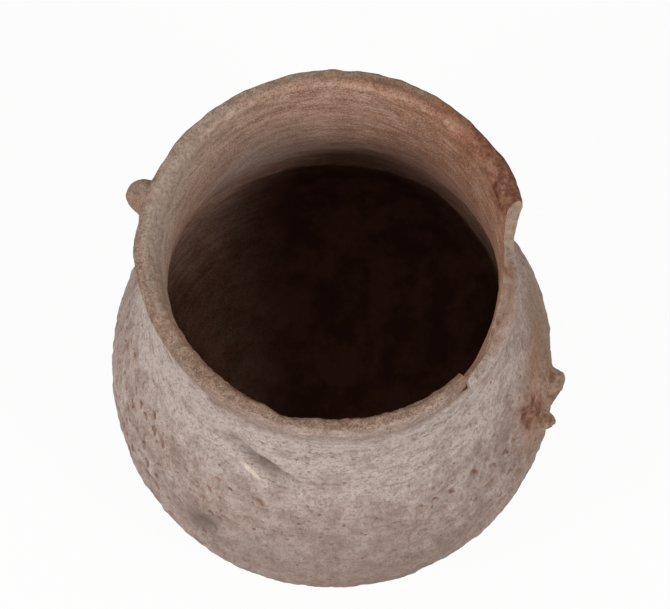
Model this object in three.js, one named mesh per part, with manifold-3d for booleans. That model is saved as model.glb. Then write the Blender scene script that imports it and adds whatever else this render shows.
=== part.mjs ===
// A corrugated cooking jar, in millimetres, standing on z = 0 with its mouth up and its axis on z.
// It is built up as its potter built it. A start disc lies in the middle of the base, and a spiral of clay
// ropes winds out from it and up the wall, each rope laid on end to end with the one before. Every turn
// laps over the outside of the turn below and keeps the ridge that pinching gave it. On the neck the turns
// are taller and wiped smooth, the last one is levelled, and a rim coil closes the lip where it is whole.
import * as THREE from "three";
import { mergeVertices } from "three/addons/utils/BufferGeometryUtils.js";
import Module from "manifold-3d";

// The jar's outer form. Heights are above the base, drops are below the lip.
const jarHeight = 200;
const rimRadius = 71;
const neckRadius = 67.2;
const neckDrop = 22;
const bellyRadius = 89.8;
const bellyHeight = 55;
const baseRadius = 34;

// How far each stretch of the outline keeps its direction before it bends away.
const heelSweep = 28;
const lowerBellySweep = 26;
const shoulderSweep = 54;
const neckSweep = 55;
const lipSweep = 7;

// The wall and the spiral of clay ropes in it. The ropes share the turns evenly, so that their ends fall at
// different places round the jar. The lap is how far a turn hangs over the one below.
const wall = 6.5;
const startDiscRadius = 12;
const bodyTurns = 21;
const bodyRopes = 23;
const neckTurns = 5;
const neckRopes = 5;
const smoothNeckLength = 72;
const lap = 3;
const levellingTail = 3;
const seamGap = 0.3;

// The pinched ridge along the lower edge of each turn, worn away on the base and wiped off the neck.
const ridgeHeight = 0.9;
const ridgeRise = 1.6;
const ridgeMidShare = 0.7;
const wornHeight = 14;
const wipeFade = 7;

// The rim coil, and the stretch of it that broke away with the handle, in degrees round from the x axis.
// The torn ends lean back from the gap, by so many degrees between the coil's foot and its top.
const rimCoilHeight = 12.5;
const lipRounding = 2;
const breakFrom = -45;
const breakFromLean = 1;
const breakTo = 6;
const breakToLean = 9.5;

// The lug on the rim, opposite the handle.
const lugAngle = 162;
const lugReach = 9.5;
const lugWidth = 11.5;
const lugTall = 12;
const lugDrop = 7;

// The root of the broken handle: the stumps of its two strands, and the clay smeared round them.
const rootDrop = 115;
const rightStrand = { name: "handle_strand_stub_right", angle: -9, width: 13, tall: 11, reach: 6.2 };
const leftStrand = { name: "handle_strand_stub_left", angle: -19.5, width: 8.5, tall: 9.5, reach: 6 };
const strandLean = 25;
const strandTaper = 0.55;
const strandBreakSlant = 12;
const smearWidth = 33;
const smearTall = 24;
const smearThick = 2.2;

// How finely round forms are cut into facets.
const facetSag = 0.28;
const smallRoundSteps = 14;

const degrees = Math.PI / 180;

const outline = drawOutline();
const outlineLength = outline.getLength();
const bodyEnd = outlineLength - smoothNeckLength;
const neckEnd = outlineLength - rimCoilHeight;
const bodyStep = (bodyEnd - startDiscRadius) / bodyTurns;
const neckStep = (neckEnd - levellingTail - bodyEnd) / neckTurns;
const seamHalf = (seamGap / 2) * Math.hypot(1, lap / wall);
const fittingSeat = ridgeHeight + seamGap;
const allTurns = bodyTurns + neckTurns;

// The colours of the fired clay, by part.
const clay = {
  base: { color: 0x8c7b70, roughness: 0.95 },
  body: { color: 0x9a887c, roughness: 0.92 },
  neck: { color: 0xa08e83, roughness: 0.85 },
  rim: { color: 0x8a7466, roughness: 0.9 },
  handle: { color: 0x9c7d69, roughness: 0.9 },
};

// The outer skin's outline, in radius and height: the flat of the base, the round lower body, the
// shoulder drawn in to the neck, and the lip turned out a little.
function drawOutline() {
  const heel = new THREE.Vector2(baseRadius, 0);
  const belly = new THREE.Vector2(bellyRadius, bellyHeight);
  const neck = new THREE.Vector2(neckRadius, jarHeight - neckDrop);
  const lip = new THREE.Vector2(rimRadius, jarHeight);
  const beyond = (point, radius, height) => new THREE.Vector2(point.x + radius, point.y + height);
  const path = new THREE.CurvePath();
  path.add(new THREE.LineCurve(new THREE.Vector2(0, 0), heel));
  path.add(new THREE.CubicBezierCurve(heel, beyond(heel, heelSweep, 0), beyond(belly, 0, -lowerBellySweep), belly));
  path.add(new THREE.CubicBezierCurve(belly, beyond(belly, 0, shoulderSweep), beyond(neck, 0, -neckSweep), neck));
  path.add(new THREE.QuadraticBezierCurve(neck, beyond(neck, 0, lipSweep), lip));
  return path;
}

// Radius and height of a point that lies so far along the outline and so far out from the skin.
function skinPoint(along, out) {
  const share = THREE.MathUtils.clamp(along / outlineLength, 0, 1);
  const place = outline.getPoint(share);
  const run = outline.getTangent(share);
  return new THREE.Vector2(place.x + out * run.y, place.y - out * run.x);
}

// The same point, turned to its place round the jar.
function wallPoint(along, out, angle) {
  const flat = skinPoint(along, out);
  return new THREE.Vector3(flat.x * Math.cos(angle), flat.x * Math.sin(angle), flat.y);
}

// Facets round a full circle, a multiple of four, so that none strays from the round by more than the sag.
function stepsRound(radius) {
  const fewest = Math.PI / Math.acos(1 - facetSag / radius);
  return 4 * Math.ceil(fewest / 4);
}

// Where the seam under the rope lies along the outline after so many turns from the start disc.
function seamAt(turns) {
  if (turns < bodyTurns) return startDiscRadius + turns * bodyStep;
  return bodyEnd + (turns - bodyTurns) * neckStep;
}

// How far the ridge stands proud at a place along the outline.
function ridgeAt(along) {
  const worn = THREE.MathUtils.smoothstep(skinPoint(along, 0).y, 0, wornHeight);
  const wiped = THREE.MathUtils.smoothstep(along, bodyEnd - wipeFade, bodyEnd);
  return ridgeHeight * worn * (1 - wiped);
}

// A solid through rings of points. Each ring has as many points, in order round its section.
function loft(rings) {
  const size = rings[0].length;
  const points = rings.flat();
  const faces = [];
  for (let ring = 0; ring + 1 < rings.length; ring++) {
    for (let corner = 0; corner < size; corner++) {
      const here = ring * size + corner;
      const beside = ring * size + ((corner + 1) % size);
      faces.push(here, beside + size, beside, here, here + size, beside + size);
    }
  }
  const last = (rings.length - 1) * size;
  for (let corner = 1; corner + 1 < size; corner++) {
    faces.push(0, corner, corner + 1);
    faces.push(last, last + corner + 1, last + corner);
  }
  const geometry = new THREE.BufferGeometry().setFromPoints(points);
  geometry.setIndex(faces);
  geometry.computeVertexNormals();
  return geometry;
}

function piece(name, geometry, finish) {
  const material = new THREE.MeshStandardMaterial({ ...finish, metalness: 0 });
  const mesh = new THREE.Mesh(geometry, material);
  mesh.name = name;
  return mesh;
}

// The places along a rope where its sections stand, counted in turns from the start disc. They keep to
// whole facets of the circle, and the ends stop short by half the gap between two ropes.
function ropeStations(from, to) {
  const radius = skinPoint(seamAt(to), 0).x;
  const steps = stepsRound(radius);
  const short = seamGap / 2 / (2 * Math.PI * radius);
  const stations = [from + short];
  for (let step = Math.ceil(from * steps); step <= to * steps; step++) {
    const clear = Math.min(step / steps - from, to - step / steps);
    if (clear > 2 * short) stations.push(step / steps);
  }
  stations.push(to - short);
  return stations;
}

// One section of a lapped turn between the seam under it and the seam over it. From the inner wall it
// goes down the sloping seam, over the pinched ridge, up the outside, and back in along the upper seam.
function lappedSection(low, high, angle) {
  const bottom = low + seamHalf;
  const top = high - seamHalf;
  const ridge = ridgeAt(low - lap);
  const middle = (bottom + top) / 2 - lap;
  const section = [
    wallPoint(bottom, -wall, angle),
    wallPoint(bottom - lap, 0, angle),
    wallPoint(middle + ridgeRise / 2, ridge * ridgeMidShare, angle),
    wallPoint(top - lap, 0, angle),
    wallPoint(top, -wall, angle),
  ];
  if (low < bodyEnd) section.splice(2, 0, wallPoint(bottom - lap + ridgeRise, ridge, angle));
  return section;
}

// A rope laid from one place in the spiral to another. The last turn of all is levelled along its top
// and thins to a tail, which ends against its own beginning.
function rope(from, to) {
  const rings = ropeStations(from, to).map((turns) => {
    const high = from < allTurns - 1 ? seamAt(turns + 1) : neckEnd;
    return lappedSection(seamAt(turns), high, turns * 2 * Math.PI);
  });
  return loft(rings);
}

// The start disc. Its edge runs out by one turn of the rope, and the rope begins against that step.
function startDisc() {
  const steps = stepsRound(startDiscRadius + bodyStep);
  const edge = [];
  for (let step = 0; step <= steps; step++) {
    const radius = seamAt(step / steps) - lap - seamHalf;
    const angle = (step * 2 * Math.PI) / steps;
    edge.push(new THREE.Vector2(radius * Math.cos(angle), radius * Math.sin(angle)));
  }
  const disc = new THREE.ExtrudeGeometry(new THREE.Shape(edge), { depth: wall, bevelEnabled: false });
  const places = disc.getAttribute("position");
  const place = new THREE.Vector3();
  for (let i = 0; i < places.count; i++) {
    place.fromBufferAttribute(places, i);
    const radius = Math.hypot(place.x, place.y);
    const outward = 1 + (lap * place.z) / wall / radius;
    places.setXYZ(i, place.x * outward, place.y * outward, place.z);
  }
  return disc;
}

// The rim coil, from one side of the break round to the other. Its top is pressed level.
function rimCoil() {
  const sweep = 360 + breakFrom - breakTo;
  const steps = Math.round((stepsRound(rimRadius) * sweep) / 360);
  const middle = (neckEnd + outlineLength) / 2;
  const section = [
    [neckEnd + seamHalf, -wall],
    [neckEnd + seamHalf - lap, 0],
    [middle, 0],
    [outlineLength - lipRounding, 0],
    [outlineLength, -lipRounding],
    [outlineLength, lipRounding - wall],
    [outlineLength - lipRounding, -wall],
    [middle, -wall],
  ];
  const rings = [];
  for (let step = 0; step <= steps; step++) {
    rings.push(
      section.map(([along, out]) => {
        const raised = (along - neckEnd) / rimCoilHeight;
        const start = breakTo + breakToLean * raised;
        const end = 360 + breakFrom - breakFromLean * raised;
        const point = wallPoint(along, out, THREE.MathUtils.lerp(start, end, step / steps) * degrees);
        point.z = Math.min(point.z, jarHeight);
        return point;
      }),
    );
  }
  return loft(rings);
}

const library = await Module();
library.setup();

// A geometry as a solid that can be cut and joined.
function solid(geometry) {
  const bare = geometry.clone();
  bare.deleteAttribute("normal");
  bare.deleteAttribute("uv");
  const merged = mergeVertices(bare, 1e-4);
  const mesh = new library.Mesh({
    numProp: 3,
    vertProperties: merged.getAttribute("position").array,
    triVerts: new Uint32Array(merged.index.array),
  });
  return new library.Manifold(mesh);
}

function geometryOf(made) {
  const mesh = made.getMesh();
  const geometry = new THREE.BufferGeometry();
  geometry.setAttribute("position", new THREE.BufferAttribute(mesh.vertProperties, 3));
  geometry.setIndex(new THREE.BufferAttribute(mesh.triVerts, 1));
  geometry.computeVertexNormals();
  return geometry;
}

// The body of the jar as a plain turned solid, grown outwards by a clearance. Whatever is luted to the
// wall is cut with it, and so takes the wall's curve on its back.
function wallCutter(clearance) {
  const lowest = lap;
  const stations = 24;
  const profile = [new THREE.Vector2(0, skinPoint(lowest, clearance).y)];
  for (let station = 0; station <= stations; station++) {
    const along = lowest + ((outlineLength - lowest) * station) / stations;
    profile.push(skinPoint(along, clearance));
  }
  profile.push(new THREE.Vector2(rimRadius + clearance, jarHeight + lugTall));
  profile.push(new THREE.Vector2(0, jarHeight + lugTall));
  const turned = new THREE.LatheGeometry(profile, stepsRound(bellyRadius));
  turned.rotateX(Math.PI / 2);
  return solid(turned);
}

// Sets a geometry whose own x axis points out of the wall on the skin at a height and an angle.
function onWall(geometry, height, angle, out) {
  const radius = skinRadius(height) + out;
  geometry.rotateZ(angle * degrees);
  geometry.translate(radius * Math.cos(angle * degrees), radius * Math.sin(angle * degrees), height);
  return geometry;
}

// The skin's radius at a height above the belly.
function skinRadius(height) {
  let low = 0;
  let high = outlineLength;
  while (high - low > 0.01) {
    const middle = (low + high) / 2;
    if (skinPoint(middle, 0).y < height) low = middle;
    else high = middle;
  }
  return skinPoint(low, 0).x;
}

// The rounded lug, pressed against the side of the lip.
function rimLug(cutter) {
  const nub = new THREE.SphereGeometry(1, smallRoundSteps, smallRoundSteps / 2);
  nub.scale(lugReach, lugWidth / 2, lugTall / 2);
  onWall(nub, jarHeight - lugDrop, lugAngle, 0);
  return geometryOf(solid(nub).subtract(cutter));
}

// A strand's stump. It leaves the wall leaning up, as a handle's foot does, and ends in a slanted break.
function strandStump(strand, grow) {
  const long = strand.reach + bodyStep;
  const stump = new THREE.CylinderGeometry(strandTaper, 1, long, smallRoundSteps);
  stump.scale(strand.width / 2 + grow, 1, strand.tall / 2 + grow);
  const places = stump.getAttribute("position");
  for (let i = 0; i < places.count; i++) {
    if (places.getY(i) < 0) continue;
    const slope = places.getZ(i) * Math.tan(strandBreakSlant * degrees);
    places.setY(i, places.getY(i) + slope + grow);
  }
  stump.rotateZ(-Math.PI / 2);
  stump.rotateY(-strandLean * degrees);
  return solid(onWall(stump, jarHeight - rootDrop, strand.angle, strand.reach - long / 2));
}

// The clay smeared round the root, with a seat in it for each stump.
function rootSmear(cutter) {
  const dome = new THREE.SphereGeometry(1, smallRoundSteps * 2, smallRoundSteps);
  dome.scale(smearThick + fittingSeat, smearWidth / 2, smearTall / 2);
  const middle = (rightStrand.angle + leftStrand.angle) / 2;
  let smear = solid(onWall(dome, jarHeight - rootDrop, middle, 0)).subtract(cutter);
  for (const strand of [rightStrand, leftStrand]) smear = smear.subtract(strandStump(strand, seamGap));
  return geometryOf(smear);
}

function buildBase() {
  const base = new THREE.Group();
  base.add(piece("base_start_disc", startDisc(), clay.base));
  return base;
}

function buildBody() {
  const body = new THREE.Group();
  const share = bodyTurns / bodyRopes;
  for (let laid = 0; laid < bodyRopes; laid++) {
    const name = "body_coil_" + String(laid + 1).padStart(2, "0");
    body.add(piece(name, rope(laid * share, (laid + 1) * share), clay.body));
  }
  return body;
}

function buildNeck() {
  const neck = new THREE.Group();
  const share = (neckTurns - 1) / neckRopes;
  for (let laid = 0; laid < neckRopes; laid++) {
    const from = bodyTurns + laid * share;
    neck.add(piece("neck_coil_" + (laid + 1), rope(from, from + share), clay.neck));
  }
  neck.add(piece("levelling_coil", rope(allTurns - 1, allTurns), clay.neck));
  neck.add(piece("rim_coil", rimCoil(), clay.rim));
  return neck;
}

function buildFittings() {
  const fittings = new THREE.Group();
  const ridgedWall = wallCutter(fittingSeat);
  fittings.add(piece("rim_lug", rimLug(wallCutter(seamGap)), clay.rim));
  for (const strand of [rightStrand, leftStrand]) {
    const stump = strandStump(strand, 0).subtract(ridgedWall);
    fittings.add(piece(strand.name, geometryOf(stump), clay.handle));
  }
  fittings.add(piece("handle_root_smear", rootSmear(ridgedWall), clay.handle));
  return fittings;
}

const jar = new THREE.Group();
jar.add(buildBase(), buildBody(), buildNeck(), buildFittings());

export default jar;
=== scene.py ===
import itertools
import math

import bpy
import numpy as np
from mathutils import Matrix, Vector


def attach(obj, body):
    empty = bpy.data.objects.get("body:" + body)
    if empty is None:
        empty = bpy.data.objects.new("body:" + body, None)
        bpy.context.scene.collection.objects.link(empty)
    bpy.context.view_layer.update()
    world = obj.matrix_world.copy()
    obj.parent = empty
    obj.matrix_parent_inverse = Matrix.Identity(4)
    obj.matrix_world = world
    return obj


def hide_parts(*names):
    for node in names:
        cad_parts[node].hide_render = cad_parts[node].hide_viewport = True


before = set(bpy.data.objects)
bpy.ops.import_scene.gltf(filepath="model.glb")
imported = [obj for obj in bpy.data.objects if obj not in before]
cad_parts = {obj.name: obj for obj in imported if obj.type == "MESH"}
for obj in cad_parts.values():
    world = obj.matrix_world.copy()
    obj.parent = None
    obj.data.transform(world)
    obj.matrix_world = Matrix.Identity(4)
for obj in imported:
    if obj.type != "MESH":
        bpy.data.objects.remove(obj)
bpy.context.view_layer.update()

# A corrugated cooking jar, rope by rope as its potter laid it. Every rope is rolled from a flat grid into
# its place in the wall, and one relief runs over them all, so that neighbours meet edge to edge.
# Sizes are in millimetres until a mesh is made, and are those of the jar's solids. A place on the wall is
# given by how far along the outline it lies, from the middle of the base to the lip, and by how far round
# it is, in turns or degrees, or in radians where it is called an angle. 0 is at the photograph's right, and
# 90 degrees behind.
MM = 0.001
FULL_TURN = 2 * math.pi
JAR_HEIGHT = 200.0
RIM_RADIUS = 71.0
NECK_RADIUS, NECK_HEIGHT = 67.2, 178.0
BELLY_RADIUS, BELLY_HEIGHT = 89.8, 55.0
HEEL_RADIUS = 34.0
WALL = 6.5
START_DISC = 12.0
BODY_TURNS, BODY_ROPES = 21, 23
NECK_TURNS, NECK_ROPES = 5, 5
ALL_TURNS = BODY_TURNS + NECK_TURNS
SMOOTH_NECK = 72.0
LAP = 3.0
TAIL = 3.0
RIM_TALL = 12.5

# The break in the rim, from one direction to the other, and how many degrees wider each side is at the lip.
BREAK_FROM, BREAK_FROM_LEAN = -45.0, 1.0
BREAK_TO, BREAK_TO_LEAN = 6.0, 9.5

# The lug on the rim, with its reach, half its width and half its height, and the root of the lost handle,
# with how far its strands lean up from level and how far their breaks slant.
LUG_ANGLE = 162.0
LUG_DROP = 7.0
LUG_SIZE = (8.6, 6.2, 6.0)
ROOT_DROP = 115.0
ROOT_LEAN, BREAK_SLANT = math.radians(25), math.radians(12)

# How finely the clay is modelled, and how it was worked: from one finger dent to the next, how far a rope's
# lower edge stands out, how deep a finger went, and the most that anything may stand out at the belly.
CURVE_POINTS = 300
STEPS_ROUND = 720
OUTER_POINTS = 14
INNER_POINTS = 7
PINCH = 6.2
RIDGE = 0.65
DENT = 1.3
MOST_OUT = 0.62

# What is painted over each piece: a value between 0 and 1 or a little more for each point, under these names.
MASKS = ("wiped", "dent", "pit", "crest", "scrape", "rust", "smoke", "brown", "low",
         "inner", "soot", "lip", "bevel", "broken", "root")


# The outline and places on it.
def bezier(*corners):
    """Points along the curve that a row of corners pulls out."""
    share = np.linspace(0, 1, CURVE_POINTS)[:, None]
    points = [np.array(corner, float) for corner in corners]
    while len(points) > 1:
        points = [a * (1 - share) + b * share for a, b in zip(points, points[1:])]
    return points[0]


def trace_outline():
    """Run along the outer skin from the middle of the base to the lip, its radius and its height."""
    heel, belly = (HEEL_RADIUS, 0), (BELLY_RADIUS, BELLY_HEIGHT)
    neck, lip = (NECK_RADIUS, NECK_HEIGHT), (RIM_RADIUS, JAR_HEIGHT)
    points = np.concatenate([
        bezier((0, 0), heel),
        bezier(heel, (62.0, 0), (BELLY_RADIUS, 29.0), belly)[1:],
        bezier(belly, (BELLY_RADIUS, 109.0), (NECK_RADIUS, 123.0), neck)[1:],
        bezier(neck, (NECK_RADIUS, 185.0), lip)[1:],
    ])
    steps = np.hypot(*np.diff(points, axis=0).T)
    return np.concatenate([[0], np.cumsum(steps)]), points[:, 0], points[:, 1]


RUN, RADIUS, HEIGHT = trace_outline()
SPREAD, CLIMB = np.gradient(RADIUS, RUN), np.gradient(HEIGHT, RUN)
LENGTH = RUN[-1]
BODY_END = LENGTH - SMOOTH_NECK
NECK_END = LENGTH - RIM_TALL
BODY_STEP = (BODY_END - START_DISC) / BODY_TURNS
NECK_STEP = (NECK_END - TAIL - BODY_END) / NECK_TURNS


def on_skin(along, out, angle):
    """Places so far along the outline, so far out from the skin, and so far round in radians."""
    radius = np.interp(along, RUN, RADIUS) + out * np.interp(along, RUN, CLIMB)
    height = np.interp(along, RUN, HEIGHT) - out * np.interp(along, RUN, SPREAD)
    radius, height, angle = np.broadcast_arrays(radius, height, angle)
    return np.stack([radius * np.cos(angle), radius * np.sin(angle), height], axis=-1)


def seam_at(turns):
    """How far along the outline the seam under a rope lies, so many turns from the first rope's start."""
    body = START_DISC + turns * BODY_STEP
    neck = BODY_END + (turns - BODY_TURNS) * NECK_STEP
    return np.where(turns < BODY_TURNS, body, neck)


TURNS = np.linspace(0, ALL_TURNS, 2000)
ROPE_RUN = np.cumsum(np.interp(seam_at(TURNS), RUN, RADIUS)) * FULL_TURN * TURNS[1]


# Unevenness and soft marks.
def smooth(value, low, high):
    """0 below low, 1 above high, and smooth between."""
    share = np.clip((value - low) / (high - low), 0, 1)
    return share * share * (3 - 2 * share)


def scatter(number, seed):
    """A chance value between -1 and 1 for every whole number, from its bits mixed by large numbers."""
    key = number.astype(np.int64) * 73856093 + seed * 668265263
    key = (key ^ (key >> 13)) * 1274126177
    return ((key ^ (key >> 16)) & 0xFFFF) / 32767.5 - 1


def lumps(place, size, seed):
    """Smooth unevenness between about -1 and 1, with lumps of one size."""
    cell = place / size + 500
    low = np.floor(cell).astype(np.int64)
    part = cell - low
    ease = part**3 * (part * (part * 6 - 15) + 10)
    total = np.zeros(place.shape[:-1])
    for corner in itertools.product((0, 1), repeat=3):
        key = (low + np.array(corner)) @ np.array([73856093, 19349663, 83492791])
        weight = np.where(np.array(corner) == 1, ease, 1 - ease).prod(axis=-1)
        total += scatter(key, seed) * weight
    return total


def uneven(place, size, seed, layers=3):
    """Lumps with smaller lumps on them, each layer half the last in size and height."""
    return sum(lumps(place, size / 2**layer, seed + layer) / 2**layer for layer in range(layers))


def wiped_lines(place, seed):
    """Fine level scratches, as a wet hand or a rag leaves them round the jar."""
    stretched = place / np.array([16.0, 16.0, 1.0])
    finer = place / np.array([9.0, 9.0, 0.55])
    return 0.65 * lumps(stretched, 1.0, seed) + 0.35 * lumps(finer, 1.3, seed + 1)


def degrees_from(turns, centre):
    """How many degrees round the jar from a direction, between -180 and 180."""
    return (turns * 360 - centre + 180) % 360 - 180


def bulge(turns, centre, wide):
    """1 at one direction round the jar, fading to 0 within about twice so many degrees."""
    return np.exp(-((degrees_from(turns, centre) / wide) ** 2))


def from_mark(along, turns, centre_along, centre, tilt, radius):
    """How far along and how far across a mark, tilted in degrees, a place lies from the mark's middle."""
    sideways = np.radians(degrees_from(turns, centre)) * radius
    upward = along - centre_along
    turn = math.radians(tilt)
    lengthways = sideways * math.cos(turn) + upward * math.sin(turn)
    return lengthways, upward * math.cos(turn) - sideways * math.sin(turn)


def spot(along, turns, centre_along, centre, long, wide, tilt=0.0):
    """A soft oval mark on the wall, fading from 1 at its middle."""
    radius = np.interp(centre_along, RUN, RADIUS)
    lengthways, across = from_mark(along, turns, centre_along, centre, tilt, radius)
    return np.exp(-((lengthways / long) ** 2) - (across / wide) ** 2)


def bulges(turns, *each):
    """Bulges added up, each given as how much it counts, its direction and its width."""
    return sum(much * bulge(turns, *where) for much, *where in each)


def spots(along, turns, *each):
    """Spots added up, each given as how much it counts and then as a spot is."""
    return sum(much * spot(along, turns, *where) for much, *where in each)


# The outer face.
def sagging_turn(along, turns):
    """The welt on the shoulder, where a turn sags over the hollow below it, and the painted shade that
    darkens the hollow.
    """
    half_long, stands_out, hollow_deep = 16, 1.2, 1.7
    lengthways, above = from_mark(along, turns, 222.5, -110.5, -33, 74)
    lengthways = lengthways / half_long
    above = above + 2.2 * lengthways**2
    fading = np.exp(-(lengthways**2) - 0.4 * lengthways**4)
    crown = np.exp(-((above / 12) ** 2))
    fall = smooth(-above, -2.0, 8.0)
    rise = smooth(-above, 9, 27)
    below = stands_out - (stands_out + hollow_deep) * fall + hollow_deep * rise
    profile = np.where(above > 2, stands_out * crown, below)
    shade = smooth(-above, -1.0, 4.0) * (1 - smooth(-above, 8, 19))
    return profile * fading, shade * np.exp(-(((lengthways - 0.15) / 0.75) ** 2))


def pinches(turns, share):
    """How deep the potter's finger went in the dents along each turn, and its nail's brown crescent."""
    number = np.interp(turns, TURNS, ROPE_RUN) / PINCH
    deepest = np.zeros(np.broadcast(turns, share).shape)
    crescent = deepest * 0
    for beside in (-1, 0, 1):
        dent = np.floor(number) + beside
        sideways = (number - dent - 0.5 - 0.2 * scatter(dent, 1)) * PINCH
        upward = (share - 0.46 - 0.1 * scatter(dent, 2)) * BODY_STEP
        depth = 0.6 + 0.4 * scatter(dent, 3)
        tilted = upward + 0.25 * sideways
        away = np.hypot(sideways / 1.6, tilted / 2.5)
        deepest = np.maximum(deepest, depth * np.exp(-(away**2)))
        upper = smooth(tilted + 0.6 * sideways, -1.6, 1.2)
        worked = np.clip(0.5 + 0.9 * scatter(dent, 4), 0, 1)
        crescent = np.maximum(crescent, worked * upper * np.exp(-(((away - 0.7) / 0.5) ** 2)))
    return deepest, crescent


def hand_work(along, turns, share, place):
    """How far the potter's work on each rope raises the wall, and the masks of the marks that it left, with
    painted light and painted shade among them.
    """
    height = place[..., 2]
    corrugated = (1 - smooth(along, BODY_END - 8, BODY_END + 1)) * smooth(height, 1, 18)
    wiped = smooth(along, BODY_END - 14, BODY_END + 10)
    right = bulge(turns, -28, 36)
    sides = np.maximum(bulge(turns, -155, 42), bulge(turns, -38, 34))
    smear = np.clip(0.5 + 0.35 * sides + 0.45 * lumps(place, 26, 3) + 0.25 * lumps(place, 9, 4), 0.1, 1.3)
    pressed = corrugated * smear
    dent, crescent = (part * pressed for part in pinches(turns, share))
    ridge = smooth(share, -0.16, 0.2) * (1 - share) ** 0.8 * pressed
    seam = np.exp(-((share / 0.07) ** 2)) * pressed
    lumpy = smooth(lumps(place, 4.5, 33), 0.25, 0.75) * (0.15 + 0.35 * bulge(turns, -35, 45))
    rough = (0.2 + 0.12 * sides) * uneven(place, 6, 21) + (0.1 + 0.1 * right) * lumps(place, 1.8, 31)
    rough = rough + 0.14 * wiped * wiped_lines(place, 41)
    relief = RIDGE * ridge - DENT * dent - 0.3 * seam + 0.26 * uneven(place, 34, 11) + rough + lumpy
    # Brown in the dents and their crescents, darkest where a dent is deepest: partly stain, partly painted
    # shade in the pits.
    stain_and_shade = 0.75 * (dent + crescent) * (0.45 + 0.85 * bulge(turns, -155, 46) + 0.35 * right)
    # Painted light: the wall made lighter towards the left and the front right, where the light falls
    # brighter.
    painted_light = bulges(turns, (0.6, 198, 52), (0.6, -46, 20))
    masks = {
        "wiped": wiped,
        "dent": np.clip(stain_and_shade * (0.95 + 0.7 * lumps(place, 2.4, 166)), 0, 1),
        "pit": np.clip(-3.4 * rough - 0.1 + 0.9 * seam, 0, 1),
        # crest: lighter where the clay's lumps stand up and were rubbed, plus the painted light above.
        "crest": np.clip(3.4 * rough + 2.0 * lumpy - 0.1, 0, 1) + painted_light,
    }
    return relief, masks


def leaning_wall(along, turns, place):
    """Where the wall as a whole swells out or draws in, so that no side of the jar is like another."""
    at_rim = smooth(along, LENGTH - 42, LENGTH - 4)
    relief = at_rim * bulges(
        turns, (-1.2, -112, 42), (-0.6, 118, 20), (-0.4, 95, 22), (0.55, 141, 8), (0.9, 184, 12),
        (1.1, 25, 8), (0.9, 16, 4), (-1.8, 6, 6))
    relief = relief + 0.35 * smooth(along, LENGTH - 9, LENGTH - 3) * lumps(place, 5, 45)
    relief = relief - 1.2 * bulge(turns, 7, 13) * smooth(along, 140, 175)
    relief = relief - 1.6 * bulge(turns, 37, 13) * smooth(along, 50, 100) * (1 - smooth(along, 200, 235))
    relief = relief - spots(along, turns, (1.0, 152, -2, 9, 16), (0.5, 125, 9, 12, 45), (1.2, 122, 2, 9, 34))
    at_front = smooth(-np.sin(turns * FULL_TURN), -0.1, 0.5)
    relief = relief - 1.8 * at_front * smooth(along, LENGTH - 12, LENGTH) ** 2
    return relief + 1.3 * spot(along, turns, LENGTH - LUG_DROP, LUG_ANGLE, 7.5, 6.5)


def held_in(relief, height):
    """The relief kept inside the jar's own size at the belly, and level under the base."""
    relief = np.minimum(relief, np.where(np.abs(height - BELLY_HEIGHT) < 30, MOST_OUT, 3.0))
    above_base = smooth(height, 0.0, 4.0)
    return np.where(height < 4, relief * above_base - 0.25 * (1 - above_base), relief)


def stains(along, turns, place):
    """The masks of what fire, food and time left on the outer face, and of the painted shade low on its
    front.
    """
    height = place[..., 2]
    rust = spots(along, turns, (1.5, 169, -22.5, 6.5, 9.5), (0.7, 156, -22.5, 8, 8))
    rust = rust * (0.85 + 0.75 * lumps(place, 3.0, 164)) + 0.45 * spot(along, turns, 178, -9, 9, 7)
    rust = rust + 0.4 * spot(along, turns, 243, -8, 15, 9) * (0.9 + 0.8 * lumps(place, 2.6, 165))
    rust = rust + spots(along, turns, (0.6, 237, -36, 2.6, 6.5, 20), (0.42, 252, -25, 9, 3))
    front = np.maximum(bulge(turns, -118, 32), 0.7 * bulge(turns, -75, 30))
    ragged = 5 * lumps(place, 9, 161) + 3.5 * lumps(place, 3, 162) + 2.5 * lumps(place, 1.4, 163)
    border = LENGTH - 5.0 - 16 * front + ragged
    root = 0.7 * spot(along, turns, 165, -18, 11, 17) * (0.8 + 0.4 * lumps(place, 5, 47))
    return {
        "rust": np.clip(rust, 0, 1),
        "lip": smooth(along, border - 8, border + 7) * (1 - 0.5 * bulge(turns, -92, 36)),
        # low: painted shade, darker towards the bottom of the front.
        "low": (1 - smooth(height, 60, 125)) * bulge(turns, -80, 42),
        "root": np.clip(root, 0, 1),
    }


def outer_relief(along, turns, share):
    """How far the outer face stands out from the plain skin, and the masks that colour it."""
    place = on_skin(along, 0, turns * FULL_TURN)
    relief, masks = hand_work(along, turns, share, place)
    masks.update(stains(along, turns, place))
    scrape = spot(along, turns, 203.6, -115.2, 6.0, 1.5, -38)
    welt, welt_shade = sagging_turn(along, turns)
    # A smoke blotch, and painted shade in the hollow under the welt.
    smoke = 0.95 * spot(along, turns, 149.0, -126, 8, 11, -30) + 1.05 * welt_shade
    masks["scrape"] = np.clip(scrape, 0, 1)
    masks["smoke"] = np.clip(smoke, 0, 1)
    masks["brown"] = 0.95 * bulge(turns, -5, 24) * (1 - 0.3 * masks["wiped"])
    relief = relief + leaning_wall(along, turns, place) + welt - 0.3 * scrape - 0.12
    return held_in(relief, place[..., 2]), masks


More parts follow.
